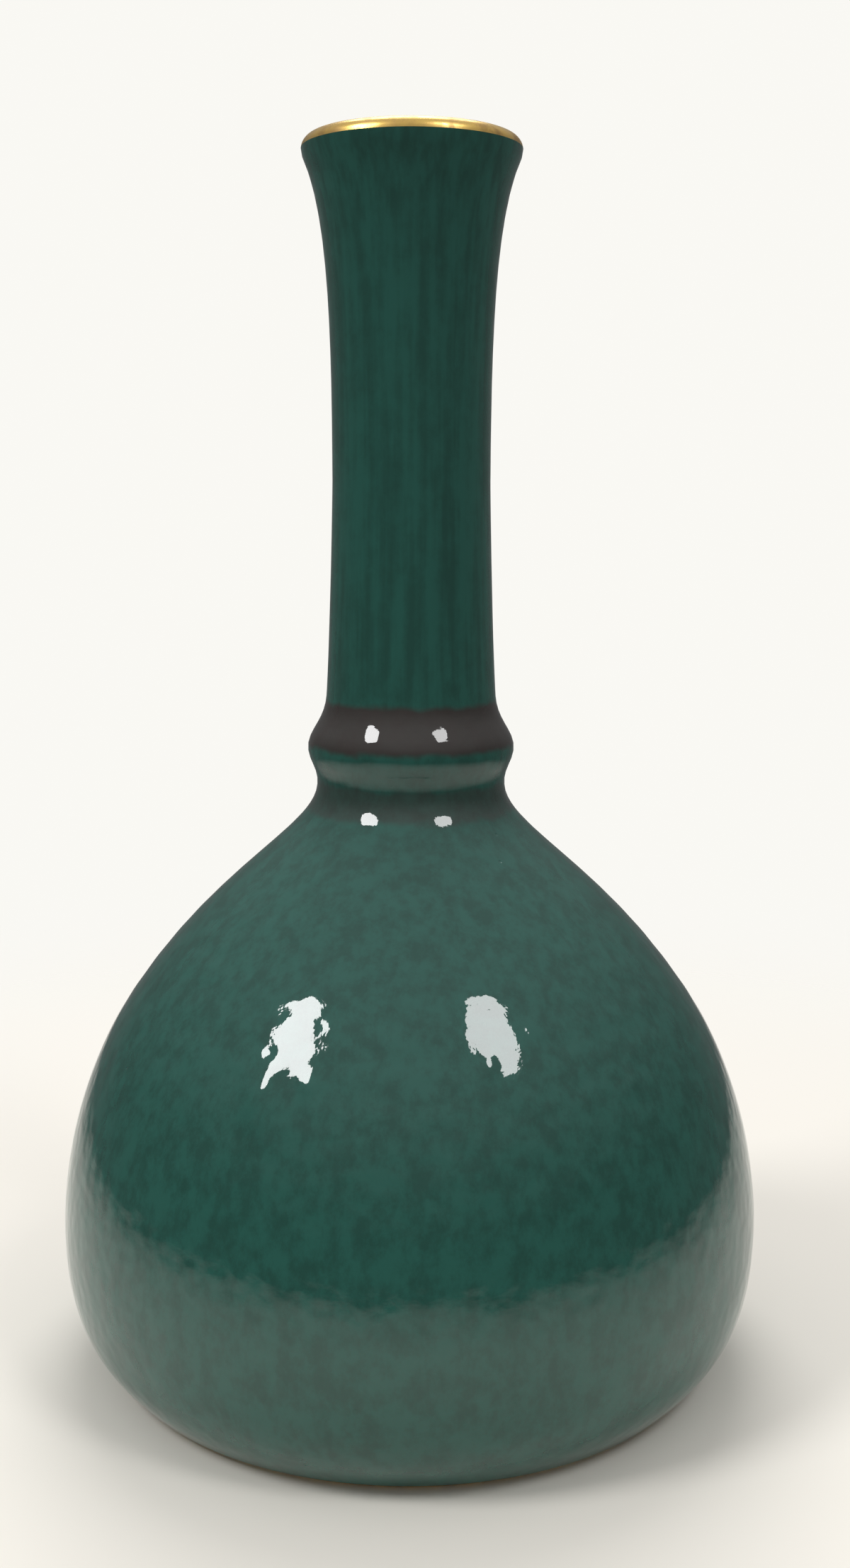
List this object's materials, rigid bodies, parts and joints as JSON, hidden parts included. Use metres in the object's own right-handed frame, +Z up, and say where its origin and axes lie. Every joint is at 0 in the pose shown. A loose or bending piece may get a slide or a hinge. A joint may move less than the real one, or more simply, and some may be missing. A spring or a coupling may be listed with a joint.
{
  "type": "bottle vase",
  "caption": "Bottle vase in enamelled copper: low round bulb, moulded collar, tall narrow neck flaring to a gilt rim, and a gilt foot ring.",
  "frame": {"origin": "centre of the vase's axis at the level of the floor it stands on", "axes": "+Z up along the axis of the vase, towards the mouth; X and Y are any two square directions, because the vase is round"},
  "size_m": [0.146, 0.146, 0.25],
  "materials": {
    "green_enamel": "deep bottle-green vitreous enamel, glossy, with a fine orange-peel and a few pits",
    "inner_enamel": "darker green counter-enamel, glossy",
    "gilt": "polished gilt, slightly worn",
    "copper": "hammered copper, hidden under the enamel",
    "braze": "silver braze, hidden under the enamel"
  },
  "bodies": {
    "root": {"outer_enamel": "green_enamel", "lining_enamel": "inner_enamel", "base_enamel": "inner_enamel", "rim_ring": "gilt", "foot_ring": "gilt", "neck_tube": "copper", "collar_ring": "copper", "shoulder_shell": "copper", "lower_bowl": "copper", "base_plate": "copper", "neck_seam_braze": "braze", "girth_seam_braze": "braze", "base_seam_braze": "braze", "foot_seam_braze": "braze"}
  },
  "joints": []
}
